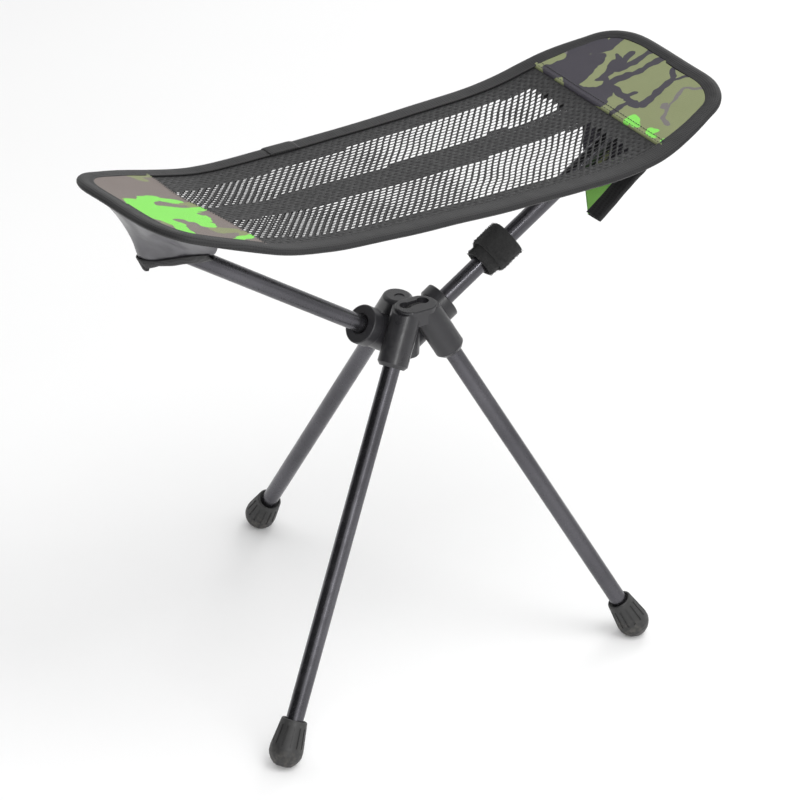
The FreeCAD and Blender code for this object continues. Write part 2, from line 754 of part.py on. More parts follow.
def skin(rows, push):
    """Sheet of flat facets between rows of points, made solid by one push."""
    prisms = []
    for upper, lower in zip(rows, rows[1:]):
        for a, b, c, d in zip(upper, upper[1:], lower[1:], lower):
            for corners in ((a, b, d), (b, c, d)):
                face = Part.Face(Part.makePolygon([*corners, corners[0]]))
                prisms.append(face.extrude(push))
    return prisms[0].multiFuse(prisms[1:]).removeSplitter()


def hung_row(places):
    """Points given as distance along the sling, distance across it and drop below its middle surface."""
    return [
        Vector(x, size("arm_plane_y") + across, sling_height(x) - drop) for x, across, drop in places
    ]


def make_left_pocket():
    """Small hood drawn tight over the tip of the left arm, its free edge taped."""
    gap = size("pocket_gap")
    top = hung_row((
        (-208, 76, gap), (-232, 68, gap), (-250, 42, gap), (-258, 0, gap), (-250, -42, gap),
        (-232, -68, gap), (-217, -78, gap),
    ))
    places = (
        (-196, 58, 24), (-213, 34, 37), (-232, 13, 41), (-240, 0, 41), (-234, -13, 37), (-222, -38, 22),
        (-220, -64, 9),
    )
    shape_part("tip_pocket_left", skin([top, hung_row(places)], Vector(-1.2, 0, -0.8)))
    tape_top = hung_row([(x, across, drop + 2.2) for x, across, drop in places])
    tape_low = [point - Vector(0, 0, size("pocket_tape_width")) for point in tape_top]
    outward = Vector(-size("pocket_tape_thickness"), 0, -0.6)
    shape_part("pocket_binding_left", skin([tape_top, tape_low], outward))


def flap_row(middle, slant, half_width, lift):
    """One row across the right pocket, near side first; its sides curl up by a lift."""
    row = []
    for share in ACROSS_FLAP:
        x = middle + slant * share
        height = under_arm(x, size("flap_clearance")) + lift * abs(share) ** 1.6
        row.append(Vector(x, size("arm_plane_y") + half_width * share, height))
    return row


def make_right_pocket():
    """Flap that hangs open under the right arm and turns up to the sling's end, its sides taped."""
    mouth = flap_row(size("flap_mouth"), size("flap_mouth_slant"), size("flap_half_width"), 11)
    knee_half_width = size("flap_knee_half_width")
    knee = flap_row(size("flap_knee"), size("flap_knee_slant"), knee_half_width, 17)
    top = hung_row([
        (size("flap_top") + size("flap_knee_slant") * share, knee_half_width * share, size("pocket_gap"))
        for share in ACROSS_FLAP
    ])
    shape_part("tip_pocket_right", skin([mouth, knee, top], Vector(0.8, 0, -0.8)))
    tape_down = Vector(0, 0, -size("pocket_tape_thickness"))
    for name, side, index in (("near", -1, 0), ("far", 1, -1)):
        inner = [row[index] + Vector(0, side * size("cloth_gap"), 0.6) for row in (mouth, knee)]
        outer = [point + Vector(0, side * size("pocket_tape_width"), -1.5) for point in inner]
        shape_part(f"pocket_binding_right_{name}", skin([inner, outer], tape_down))


# ---------------------------------------------------------------- strap
def band_corners(inside):
    """Corners of a square band with cut-off corners, an inside reach from the arm's axis."""
    near = inside - size("strap_corner")
    corners = [(inside, -near), (inside, near), (near, inside), (-near, inside)]
    return corners + [(-x, -y) for x, y in corners]


def make_strap_turn(label, start, inside):
    """One turn of hook-and-loop tape, a loose squarish band round the right arm."""
    faces = []
    for reach in (inside, inside + size("strap_thickness")):
        points = [Vector(x, y, 0) for x, y in band_corners(reach)]
        faces.append(Part.Face(Part.makePolygon(points + points[:1])))
    band = faces[1].extrude(Vector(0, 0, size("strap_width")))
    hollow = faces[0].extrude(Vector(0, 0, size("strap_width")))
    part = shape_part(label, band.cut(hollow))
    part.Placement = along(arm_axis("right"), start)


def make_strap():
    inside = size("tube_radius") + size("strap_slack")
    make_strap_turn("strap_loop_turn", size("strap_start"), inside)
    outside = inside + size("strap_thickness") + size("cloth_gap")
    make_strap_turn("strap_hook_turn", size("strap_start") + size("strap_offset"), outside)


def main():
    make_hub()
    for name in LEGS:
        make_leg(name)
    for name in SIDES:
        make_arm(name)
    make_cords()
    make_sling()
    make_left_pocket()
    make_right_pocket()
    make_strap()


main()
doc.recompute()

problems = [obj.Name for obj in doc.Objects if {"Invalid", "Error"} & set(obj.State)]
if problems:
    raise ValueError(f"failed objects: {problems}")
for part in SUB_PARTS:
    if part.Shape.isNull() or not part.Shape.isValid():
        raise ValueError(f"bad shape: {part.Label}")

os.makedirs("parts", exist_ok=True)
for part in SUB_PARTS:
    part.Shape.exportStep(f"parts/{part.Label}.step")
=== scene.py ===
"""Looks of the folding camp stool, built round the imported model.

Lengths are millimetres in the row frame until a piece is made, which turns them into metres.
+X runs along the sling, the back leg is towards +Y, and the arms lie in the plane Y = PLANE.
"""
import math
import random

import bpy
from mathutils import Matrix, Vector, noise


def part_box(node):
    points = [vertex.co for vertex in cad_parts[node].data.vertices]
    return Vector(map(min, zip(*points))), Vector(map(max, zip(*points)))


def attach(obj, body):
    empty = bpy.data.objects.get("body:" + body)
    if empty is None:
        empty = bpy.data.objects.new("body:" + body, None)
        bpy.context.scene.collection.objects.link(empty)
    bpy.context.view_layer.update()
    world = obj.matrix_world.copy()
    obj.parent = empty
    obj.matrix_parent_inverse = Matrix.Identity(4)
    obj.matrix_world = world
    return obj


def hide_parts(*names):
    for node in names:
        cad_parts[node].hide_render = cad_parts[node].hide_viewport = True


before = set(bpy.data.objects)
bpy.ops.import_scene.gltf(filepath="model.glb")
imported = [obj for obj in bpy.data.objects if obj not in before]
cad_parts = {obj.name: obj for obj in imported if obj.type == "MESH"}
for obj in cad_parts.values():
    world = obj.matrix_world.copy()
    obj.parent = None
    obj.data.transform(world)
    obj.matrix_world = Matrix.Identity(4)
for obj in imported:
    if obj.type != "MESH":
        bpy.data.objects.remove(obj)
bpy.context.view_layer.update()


def cad_box(node):
    """Lowest and highest corner of a CAD node at rest, in millimetres."""
    low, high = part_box(node)
    return Vector(low) * 1000, Vector(high) * 1000


MESH_LOW, MESH_HIGH = cad_box("seat_mesh")
EDGE_LOW, EDGE_HIGH = cad_box("edge_binding")
ARM_LOW, ARM_HIGH = cad_box("arm_tube_right")
PLANE = (ARM_LOW.y + ARM_HIGH.y) / 2
SEAM = MESH_HIGH.x + 0.3
END = EDGE_HIGH.x
HALF_WIDTH = (EDGE_HIGH.y - EDGE_LOW.y) / 2
MIDDLE = MESH_LOW.z + 0.8
SAG = 2.2
BEND = 118.0
STRAIGHT = 186.0
END_SLOPE = math.tan(math.radians(17.0))
CORNER = 232.0
CORNER_HALF_WIDTH = 80.0
ARM_SLOPE = math.radians(32.95)
ARM_CROSS = Vector((0, PLANE, 276.95))
TUBE_RADIUS = 7.0
INWARD = -1.0


# ---------------------------------------------------------------- camera, light and floor
def make_camera():
    turn, fall, roll = (math.radians(d) for d in (36.3035, 29.8588, 2.5692))
    forward = Vector((
        math.sin(turn) * math.cos(fall), math.cos(turn) * math.cos(fall), -math.sin(fall)
    ))
    level = Vector((math.cos(turn), -math.sin(turn), 0))
    upright = level.cross(forward)
    right = level * math.cos(roll) + upright * math.sin(roll)
    up = upright * math.cos(roll) - level * math.sin(roll)
    hub_top = Vector((0, PLANE - 6.04, 331.5))
    place = hub_top - forward * 2518.36 - right * 6.275 - up * 92.132
    data = bpy.data.cameras.new("camera")
    data.sensor_width = 36.0
    data.lens = 144.95
    data.clip_start = 0.05
    camera = bpy.data.objects.new("camera", data)
    axes = Matrix((right, up, -forward)).transposed()
    camera.matrix_world = Matrix.Translation(place / 1000) @ axes.to_4x4()
    bpy.context.scene.collection.objects.link(camera)
    bpy.context.scene.camera = camera


def area_light(name, place, aim, power, width, height, upright=(0, 0, 1)):
    """Rectangular light aimed at a place, its height along a direction as far as the aim allows."""
    data = bpy.data.lights.new(name, "AREA")
    data.shape = "RECTANGLE"
    data.size, data.size_y = width, height
    data.energy = power
    lamp = bpy.data.objects.new(name, data)
    back = (Vector(place) - Vector(aim)).normalized()
    side = Vector(upright).cross(back).normalized()
    axes = Matrix((side, back.cross(side), back)).transposed()
    lamp.matrix_world = Matrix.Translation(place) @ axes.to_4x4()
    bpy.context.scene.collection.objects.link(lamp)
    return data


def make_world():
    """White studio with one dark card at the left, which draws the dark side of the round tubes."""
    world = bpy.data.worlds.new("studio")
    bpy.context.scene.world = world
    world.use_nodes = True
    tree = world.node_tree
    background = tree.nodes["Background"]
    coordinates = tree.nodes.new("ShaderNodeTexCoord")
    toward = tree.nodes.new("ShaderNodeVectorMath")
    toward.operation = "DOT_PRODUCT"
    toward.inputs[1].default_value = Vector((-0.93, 0.16, 0.12)).normalized()
    card = tree.nodes.new("ShaderNodeMapRange")
    card.inputs["From Min"].default_value = 0.66
    card.inputs["From Max"].default_value = 0.72
    card.inputs["To Min"].default_value = 0.85
    card.inputs["To Max"].default_value = 0.03
    path = tree.nodes.new("ShaderNodeLightPath")
    seen = tree.nodes.new("ShaderNodeMath")
    seen.operation = "MAXIMUM"
    tree.links.new(coordinates.outputs["Generated"], toward.inputs[0])
    tree.links.new(toward.outputs["Value"], card.inputs["Value"])
    tree.links.new(card.outputs["Result"], seen.inputs[0])
    tree.links.new(path.outputs["Is Camera Ray"], seen.inputs[1])
    tree.links.new(seen.outputs[0], background.inputs["Strength"])
    background.inputs["Color"].default_value = (1, 1, 1, 1)


def make_studio():
    bpy.context.scene.view_settings.view_transform = "Standard"
    make_world()
    area_light("key", (0.5, -0.9, 2.6), (0, 0, 0.3), 20, 1.5, 1.5, (0, 1, 0))
    area_light("rim", (1.6, 0.9, 1.5), (0, 0, 0.3), 8, 0.8, 1.2)
    strip = area_light("strip", (-0.475, -1.44, 0.99), (0, 0, 0.3), 10, 0.03, 1.2, (0.455, 0.243, 0.857))
    strip.use_shadow = False
    floor = mesh_piece("floor", [(-9000, -9000, 0), (9000, -9000, 0), (9000, 9000, 0), (-9000, 9000, 0)],
                       [(0, 1, 2, 3)], FLOOR)


# ---------------------------------------------------------------- material kit
class Finish:
    """One procedural material: a Principled shader and the nodes that feed it."""

    def __init__(self, name, **sockets):
        self.material = bpy.data.materials.new(name)
        self.material.use_nodes = True
        self.tree = self.material.node_tree
        self.shader = self.tree.nodes["Principled BSDF"]
        for socket, value in sockets.items():
            self.shader.inputs[socket.replace("_", " ")].default_value = value

    def link(self, source, target):
        self.tree.links.new(source, target)

    def node(self, kind, values=(), **settings):
        made = self.tree.nodes.new(kind)
        for key, value in settings.items():
            setattr(made, key, value)
        for socket, value in dict(values).items():
            if isinstance(value, bpy.types.NodeSocket):
                self.link(value, made.inputs[socket])
            else:
                made.inputs[socket].default_value = value
        return made

    def place(self):
        return self.node("ShaderNodeTexCoord").outputs["Object"]

    def path(self):
        """Metres along and across a piece that was made with them."""
        return self.node("ShaderNodeUVMap", uv_map="path").outputs["UV"]

    def scaled(self, vector, scale, location=(0, 0, 0), rotation=(0, 0, 0)):
        return self.node("ShaderNodeMapping", {
            "Vector": vector, "Scale": scale, "Location": location, "Rotation": rotation,
        }).outputs["Vector"]

    def noise(self, vector, scale, detail=2.0, rough=0.5):
        made = self.node(
            "ShaderNodeTexNoise", {"Vector": vector, "Scale": scale, "Detail": detail, "Roughness": rough}
        )
        return made.outputs["Fac"]

    def wave(self, vector, scale, direction="X", warp=0.0):
        made = self.node(
            "ShaderNodeTexWave", {"Vector": vector, "Scale": scale, "Distortion": warp, "Detail": 1.0},
            bands_direction=direction,
        )
        return made.outputs["Fac"]

    def math(self, operation, first, second=0.0, clamp=False):
        return self.node(
            "ShaderNodeMath", {0: first, 1: second}, operation=operation, use_clamp=clamp
        ).outputs[0]

    def spread(self, value, low, high, to_low=0.0, to_high=1.0):
        return self.node("ShaderNodeMapRange", {
            "Value": value, "From Min": low, "From Max": high, "To Min": to_low, "To Max": to_high,
        }).outputs["Result"]

    def mix(self, amount, first, second):
        made = self.node("ShaderNodeMix", {0: amount}, data_type="RGBA")
        for socket, value in ((6, first), (7, second)):
            if isinstance(value, bpy.types.NodeSocket):
                self.link(value, made.inputs[socket])
            else:
                made.inputs[socket].default_value = value
        return made.outputs[2]

    def colour(self, source):
        self.link(source, self.shader.inputs["Base Color"])

    def roughness(self, source):
        self.link(source, self.shader.inputs["Roughness"])

    def bump(self, height, distance, strength=1.0):
        """Adds one layer of relief, its depth in metres."""
        made = self.node(
            "ShaderNodeBump", {"Height": height, "Distance": distance, "Strength": strength}
        )
        under = self.shader.inputs["Normal"]
        if under.is_linked:
            self.link(under.links[0].from_socket, made.inputs["Normal"])
        self.link(made.outputs["Normal"], under)


def grey(level, tint=(1.0, 1.0, 1.0)):
    return (level * tint[0], level * tint[1], level * tint[2], 1.0)


def srgb(red, green, blue):
    """Linear colour from display values of 0 to 255."""
    return tuple(((v / 255 + 0.055) / 1.055) ** 2.4 for v in (red, green, blue)) + (1.0,)


def floor_finish():
    made = Finish("studio_floor", Roughness=0.9, Specular_IOR_Level=0.1)
    cloud = made.noise(made.place(), 2.0, 3.0)
    made.colour(made.mix(cloud, grey(0.90), grey(0.94)))
    return made.material


def tube_finish(name, low, high, gloss):
    """Anodised metal: a drawn tube's fine streaks and a few dull scuffs."""
    made = Finish(name, Roughness=gloss, Metallic=0.9, IOR=1.5)
    place = made.place()
    scuff = made.noise(place, 60.0, 5.0, 0.65)
    cloud = made.noise(place, 14.0, 3.0)
    made.colour(made.mix(made.spread(cloud, 0.35, 0.7), low, high))
    made.roughness(made.spread(scuff, 0.35, 0.75, gloss * 0.8, gloss * 1.6))
    made.bump(made.noise(place, 900.0, 2.0), 0.00001, 0.3)
    made.bump(made.noise(place, 60.0, 2.0), 0.00005, 0.2)
    return made.material


def moulded_finish(name, low, high, rough, grain, dust=0.0):
    """Spark-eroded plastic or rubber, with a painted highlight that makes it paler along its sharp edges, and
    dusty lower down.
    """
    made = Finish(name, Roughness=rough, IOR=1.48)
    place = made.place()
    cloud = made.noise(place, 25.0, 4.0)
    body = made.mix(made.spread(cloud, 0.3, 0.7), low, high)
    # Painted highlight: sharp edges, picked out by pointiness and broken up by noise, are mixed towards a
    # paler grey.
    edge = made.spread(made.node("ShaderNodeNewGeometry").outputs["Pointiness"], 0.52, 0.6)
    edge_highlight = made.math("MULTIPLY", edge, made.spread(made.noise(place, 180.0, 3.0), 0.4, 0.65))
    body = made.mix(made.math("MULTIPLY", edge_highlight, 0.5), body, grey(high[0] * 2.6))
    if dust:
        height = made.node("ShaderNodeSeparateXYZ", {0: place}).outputs["Z"]
        low_down = made.spread(height, 0.022, 0.002)
        patch = made.spread(made.noise(place, 240.0, 4.0, 0.7), 0.45, 0.7)
        body = made.mix(made.math("MULTIPLY", made.math("MULTIPLY", low_down, patch), dust),
                        body, srgb(150, 143, 132))
    made.colour(body)
    made.roughness(made.spread(cloud, 0.3, 0.7, rough - 0.07, rough + 0.08))
    made.bump(made.noise(place, grain, 2.0, 0.6), 0.00009, 0.6)
    made.bump(cloud, 0.0004, 0.3)
    return made.material


def cord_finish():
    """Braided sheath of an elastic cord."""
    made = Finish("cord_sheath", Roughness=0.75)
    place = made.scaled(made.place(), (1, 1, 1), rotation=(0.6, 0.5, 0.4))
    braid = made.math("MULTIPLY", made.wave(place, 260.0, "X"), made.wave(place, 260.0, "Z"))
    made.colour(made.mix(braid, grey(0.012), grey(0.05)))
    made.bump(braid, 0.0003, 0.8)
    return made.material


def net_finish(name, low, high):
    """Warp-knitted polyester yarn."""
    made = Finish(name, Roughness=0.6, Sheen_Weight=0.03, Sheen_Roughness=0.4)
    place = made.place()
    yarn = made.wave(made.scaled(place, (1, 1, 1), rotation=(0, 0, 0.5)), 420.0, "X", 2.0)
    fleck = made.noise(place, 300.0, 3.0)
    made.colour(made.mix(made.math("MULTIPLY", yarn, fleck), low, high))
    made.roughness(made.spread(fleck, 0.3, 0.7, 0.5, 0.75))
    made.bump(yarn, 0.0002, 0.7)
    made.bump(made.noise(place, 700.0, 2.0), 0.0001, 0.5)
    return made.material


def binding_finish(name, low, high):
    """Woven tape: fine ribs across its length, crossed by a flatter weave."""
    made = Finish(name, Roughness=0.62, Sheen_Weight=0.04, Sheen_Roughness=0.45)
    path = made.path()
    ribs = made.wave(path, 150.0, "X", 0.6)
    rows = made.wave(path, 190.0, "Y", 0.8)
    weave = made.math("MAXIMUM", made.math("MULTIPLY", ribs, 0.8), rows)
    cloud = made.noise(made.place(), 35.0, 4.0)
    shade = made.math("MULTIPLY", weave, made.spread(cloud, 0.3, 0.7, 0.6, 1.0))
    made.colour(made.mix(shade, low, high))
    made.roughness(made.spread(weave, 0.0, 1.0, 0.75, 0.55))
    made.bump(weave, 0.00022, 0.8)
    made.bump(cloud, 0.0009, 0.35)
    return made.material


def thread_finish():
    made = Finish("sewing_thread", Roughness=0.5)
    twist = made.wave(made.scaled(made.place(), (1, 1, 1), rotation=(0, 0, 0.8)), 900.0, "X")
    made.colour(made.mix(twist, grey(0.01), grey(0.045)))
    made.bump(twist, 0.0001, 0.6)
    return made.material


def fuzzy_finish(name, level):
    """Hook-and-loop tape: matt pile with stray loops."""
    made = Finish(name, Roughness=0.95, Sheen_Weight=0.04, Sheen_Roughness=0.6)
    place = made.place()
    pile = made.noise(place, 900.0, 4.0, 0.75)
    tuft = made.noise(place, 260.0, 4.0, 0.7)
    made.colour(made.mix(made.math("MULTIPLY", pile, tuft), grey(level * 0.3), grey(level * 2.2)))
    made.bump(pile, 0.0008, 0.9)
    made.bump(tuft, 0.0012, 0.6)
    return made.material


# ---------------------------------------------------------------- printed cloth
def patch(made, vector, shape, width=1.0):
    """Distance from a stroke, over its radius: 1 on its outline. A stroke is two ends and a radius."""
    first, last, radius = Vector(shape[0:2]) / 1000, Vector(shape[2:4]) / 1000, shape[4] / 1000
    run = last - first
    off = made.node("ShaderNodeVectorMath", {0: vector, 1: (*first, 0)}, operation="SUBTRACT").outputs[0]
    if run.length > 0:
        dot = made.node(
            "ShaderNodeVectorMath", {0: off, 1: (*run, 0)}, operation="DOT_PRODUCT"
        ).outputs["Value"]
        share = made.math("DIVIDE", dot, run.length_squared, clamp=True)
        step = made.node("ShaderNodeVectorMath", {0: (*run, 0), "Scale": share}, operation="SCALE").outputs[0]
        off = made.node("ShaderNodeVectorMath", {0: off, 1: step}, operation="SUBTRACT").outputs[0]
    length = made.node("ShaderNodeVectorMath", {0: off}, operation="LENGTH").outputs["Value"]
    return made.math("DIVIDE", length, radius * width)


def inked(made, vector, shapes):
    """1 inside any of the strokes and 0 outside, with a slightly soft printed edge."""
    nearest = patch(made, vector, shapes[0])
    for shape in shapes[1:]:
        nearest = made.math("MINIMUM", nearest, patch(made, vector, shape))
    return made.spread(nearest, 1.04, 0.96)


def camouflage(name, ground, layers):
    """Printed ripstop cloth: blots of flat ink, a fine diagonal weave and fibres where the ink has rubbed
    through.
    """
    made = Finish(name, Roughness=0.75, Sheen_Weight=0.04, Sheen_Roughness=0.5, Specular_IOR_Level=0.3)
    place = made.place()
    flat = made.node("ShaderNodeVectorMath", {0: place, 1: (1, 1, 0)}, operation="MULTIPLY").outputs[0]
    flat = made.node("ShaderNodeVectorMath", {0: flat, 1: (0, -PLANE / 1000, 0)}, operation="ADD").outputs[0]
    ripple = made.node("ShaderNodeTexNoise", {"Vector": flat, "Scale": 75.0, "Detail": 1.5})
    shift = made.node(
        "ShaderNodeVectorMath", {0: ripple.outputs["Color"], 1: (0.5, 0.5, 0.5)}, operation="SUBTRACT"
    ).outputs[0]
    shift = made.node("ShaderNodeVectorMath", {0: shift, "Scale": 0.011}, operation="SCALE").outputs[0]
    moved = made.node("ShaderNodeVectorMath", {0: flat, 1: shift}, operation="ADD").outputs[0]
    moved = made.node("ShaderNodeVectorMath", {0: moved, 1: (1, 1, 0)}, operation="MULTIPLY").outputs[0]
    ink = made.mix(made.noise(flat, 30.0, 3.0), ground, tuple(c * 0.9 for c in ground[:3]) + (1.0,))
    for colour, shapes in layers:
        ink = made.mix(inked(made, moved, shapes), ink, colour)
    twill = made.wave(made.scaled(place, (1, 1, 1), rotation=(0, 0, 1.05)), 330.0, "X", 0.5)
    cross = made.wave(made.scaled(place, (1, 1, 1), rotation=(0, 0, -0.5)), 420.0, "X", 0.3)
    cloth = made.math("MULTIPLY", made.math("ADD", twill, cross), 0.5)
    shade = made.spread(cloth, 0.0, 1.0, 0.66, 1.14)
    tone = made.node("ShaderNodeVectorMath", {0: ink, "Scale": shade}, operation="SCALE").outputs[0]
    made.colour(tone)
    made.roughness(made.spread(cloth, 0.0, 1.0, 0.8, 0.6))
    made.bump(cloth, 0.0003, 0.8)
    made.bump(made.noise(place, 45.0, 3.0), 0.0009, 0.4)
    return made.material


NEON = srgb(140, 234, 98)
OLIVE = srgb(143, 150, 108)
TAUPE = srgb(134, 124, 119)
CHARCOAL = srgb(66, 63, 72)

LEFT_PRINT = (
    (OLIVE, (
        (-203, 78, -187, 80, 5.5), (-200, 72, -197, 66, 4), (-243, 9, -236, 12, 5), (-202, 8, -190, 8, 6),
        (-207, -53, -192, -53, 5.5), (-242, -42, -241, -36, 5), (-188, -64, -186, -58, 5),
    )),
    (NEON, (
        (-236, 0, -238, -22, 15), (-222, -8, -216, -22, 15), (-228, 14, -216, 20, 7), (-212, 15, -196, 16, 4),
        (-206, -6, -188, -2, 5), (-210, -22, -208, -41, 8), (-202, -14, -204, -28, 8),
        (-240, -28, -236, -38, 8),
        (-235, -44, -237, -60, 6.5), (-250, -6, -250, -18, 6), (-208, -76, -196, -69, 3.6),
        (-198, -68, -186, -65, 3.6),
    )),
    (TAUPE, (
        (-220, 5, -206, 4, 5), (-226, -34, -223, -46, 4.2), (-196, -15, -190, -15, 3.6),
        (-206, 3, -198, 6, 2.8),
    )),
)
RIGHT_PRINT = (
    (srgb(122, 117, 116), (
        (207, 70, 206, 66, 4.5), (206, -55, 212, -48, 2.2), (203, -66, 206, -56, 1.8),
        (212, -48, 228, -43, 1.6),
        (228, -43, 240, -38, 1.4), (240, -38, 247, -48, 1.4), (213, -44, 216, -42, 2.4),
    )),
    (CHARCOAL, (
        (190, 62, 204, 60, 12), (194, 40, 196, 24, 13), (206, 46, 214, 46, 12), (214, 66, 232, 66, 10),
        (228, 56, 246, 56, 6), (188, 8, 196, 10, 9), (206, 26, 226, 30, 5.5), (228, 28, 240, 32, 3.2),
        (230, 32, 234, 38, 2), (222, 24, 236, 20, 4), (236, 20, 252, 20, 3.4), (204, 12, 222, 11, 4),
        (222, 10, 236, 6, 2.8), (236, 6, 254, 5, 3), (203, 10, 203, -8, 3), (203, -10, 211, -12, 2.6),
        (183, -19, 199, -19, 2.2), (202, -14, 202, -27, 3.4), (204, -30, 226, -26, 3.6),
        (226, -26, 240, -22, 3),
        (240, -22, 253, -10, 2.4), (242, -24, 254, -30, 1.6), (184, 30, 186, -2, 4),
    )),
    (OLIVE, (
        (194, 28, 200, 30, 3.4), (197, 24, 199, 19, 4), (202, 31, 214, 34, 3.8), (216, 36, 224, 40, 3.4),
        (186, 78, 198, 76, 4), (199, 74, 203, 73, 3),
    )),
    (NEON, (
        (186, -37, 190, -39, 5.5), (190, -41, 187, -44, 4.5), (188, -61, 190, -63, 4.6),
        (186, -66, 185, -70, 3), (187, -80, 190, -82, 3.4),
    )),
)


# ---------------------------------------------------------------- pieces
def mesh_piece(name, corners, faces, material, path=None, smooth=True):
    """Object from corners in millimetres; path gives each corner's place along and across, also in mm."""
    mesh = bpy.data.meshes.new(name)
    mesh.from_pydata([Vector(c) / 1000 for c in corners], [], faces)
    if path:
        layer = mesh.uv_layers.new(name="path")
        for loop in mesh.loops:
            along, over = path[loop.vertex_index]
            layer.data[loop.index].uv = (along / 1000, over / 1000)
    mesh.materials.append(material)
    mesh.validate()
    mesh.update()
    if smooth:
        mesh.shade_smooth()
    piece = bpy.data.objects.new(name, mesh)
    bpy.context.scene.collection.objects.link(piece)
    return piece


def on_body(piece, body, slot, *nodes):
    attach(piece, body)
    if nodes:
        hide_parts(*nodes)
    return piece


def thickened(piece, thickness, offset=0.0):
    solid = piece.modifiers.new("thickness", "SOLIDIFY")
    solid.thickness = thickness / 1000
    solid.offset = offset
    return piece


def swept(rings, closed_path, capped=False, first=0, slit=False):
    """Faces of a tube through rings of equal size; with a slit, its section stays open."""
    count, around = len(rings), len(rings[0])
    faces = []
    for i in range(count if closed_path else count - 1):
        for j in range(around - 1 if slit else around):
            a, b = first + i * around + j, first + i * around + (j + 1) % around
            c, d = first + (i + 1) % count * around + (j + 1) % around, first + (i + 1) % count * around + j
            faces.append((a, b, c, d))
    if capped and not closed_path:
        faces.append(tuple(first + j for j in reversed(range(around))))
        faces.append(tuple(first + (count - 1) * around + j for j in range(around)))
    return faces


# ---------------------------------------------------------------- shape of the sling
def seat_height(x):
    reach = abs(x)
    entry = 2 * SAG / BEND
    if reach <= BEND:
        return MIDDLE + SAG * (reach / BEND) ** 2
    if reach <= STRAIGHT:
        past = reach - BEND
        return MIDDLE + SAG + entry * past + (END_SLOPE - entry) / (STRAIGHT - BEND) * past ** 2 / 2
    straight = MIDDLE + SAG + (entry + END_SLOPE) / 2 * (STRAIGHT - BEND)
    return straight + END_SLOPE * (reach - STRAIGHT)


def seat_roll(x):
    """Lean of the sling about its length: the tips of the arms twist it a little."""
    return math.radians(min(1.9, max(-4.6, -1.85 + 3.55 * x / 183)))


def seat_point(x, across, lift=0.0):
    """Point on the sling, a height above its middle surface."""
    rise = seat_height(x + 0.5) - seat_height(x - 0.5)
    roll = seat_roll(x)
    over = Vector((0, math.cos(roll), math.sin(roll)))
    along = Vector((1, 0, rise)).normalized()
    normal = along.cross(over)
    slack = 0.5 * noise.noise(Vector((x / 45, across / 45, 0)))
    return Vector((x, PLANE, seat_height(x))) + over * across + normal * (lift + slack)


def plan_half_width(x):
    """Half width of the sling's outline at a distance along it."""
    reach = abs(x)
    if reach <= STRAIGHT - 14:
        return HALF_WIDTH
    if reach <= CORNER:
        t = (reach - STRAIGHT + 14) / (CORNER - STRAIGHT + 14)
        return HALF_WIDTH - (HALF_WIDTH - CORNER_HALF_WIDTH) * (0.35 * t + 0.65 * t * t)
    t = min(1.0, (reach - CORNER) / (END - CORNER))
    return CORNER_HALF_WIDTH - 40.0 * (1 - math.sqrt(max(0.0, 1 - t ** 2.2))) - 4.0 * t


def outline_loop(spacing):
    """Sling's outline, even steps round it, far edge first: plan points, distances and outward normals."""
    quarter = []
    x = 0.0
    while x < END - 0.6:
        quarter.append(Vector((x, plan_half_width(x))))
        x += 2.0 if x < CORNER else max(0.12, 0.16 * (END - x))
    quarter.append(Vector((END, plan_half_width(END))))
    quarter.append(Vector((END, 0)))
    right = quarter + [Vector((p.x, -p.y)) for p in reversed(quarter[:-1])]
    loop = right[:-1] + [Vector((-p.x, p.y)) for p in reversed(right[1:])]
    steps = [(b - a).length for a, b in zip(loop, loop[1:] + loop[:1])]
    total = sum(steps)
    count = int(total / spacing)
    places, index, gone = [], 0, 0.0
    for k in range(count):
        target = total * k / count
        while gone + steps[index] < target:
            gone += steps[index]
            index += 1
        share = (target - gone) / steps[index]
        places.append(loop[index].lerp(loop[(index + 1) % len(loop)], share))
    for _ in range(int(26 / spacing)):
        places = [
            (places[k - 1] + places[k] * 2 + places[(k + 1) % count]) / 4 for k in range(count)
        ]
    normals = []
    for k in range(count):
        run = (places[(k + 1) % count] - places[k - 1]).normalized()
        normals.append(Vector((-run.y, run.x)) if Vector((-run.y, run.x)).dot(places[k]) > 0
                       else Vector((run.y, -run.x)))
    return places, [total * k / count for k in range(count)], normals


def binding_width(x, y):
    """Tape width seen from above: widest along the near side, narrower round the two ends."""
    left = min(1.0, max(0.0, (-x - 205) / 40))
    right = min(1.0, max(0.0, (x - 190) / 40))
    near = 1.6 if y < 0 else 0.0
    return 13.4 + near - 1.6 * left - 3.4 * right


# ---------------------------------------------------------------- net
LEAN = 0.14
CUT = 0.14
STRIPS = (
    # distance along, then near and far edge of the open strip
    ((-186, 6, 43), (-140, 11, 54), (-60, 15, 60), (10, 17, 63), (100, 21, 65), (164, 19, 59)),
    ((-186, -64, -26), (-140, -67, -19), (-60, -69, -16), (10, -70, -15), (100, -70, -11), (164, -69, -13)),
)


def in_open_strip(x, across, wider=0.0):
    """Whether a place lies in one of the two open-knit strips, or within a margin of them."""
    for strip in STRIPS:
        for (x1, low1, high1), (x2, low2, high2) in zip(strip, strip[1:]):
            if x1 <= x <= x2:
                t = (x - x1) / (x2 - x1)
                if low1 + (low2 - low1) * t - wider <= across <= high1 + (high2 - high1) * t + wider:
                    return True
    return False


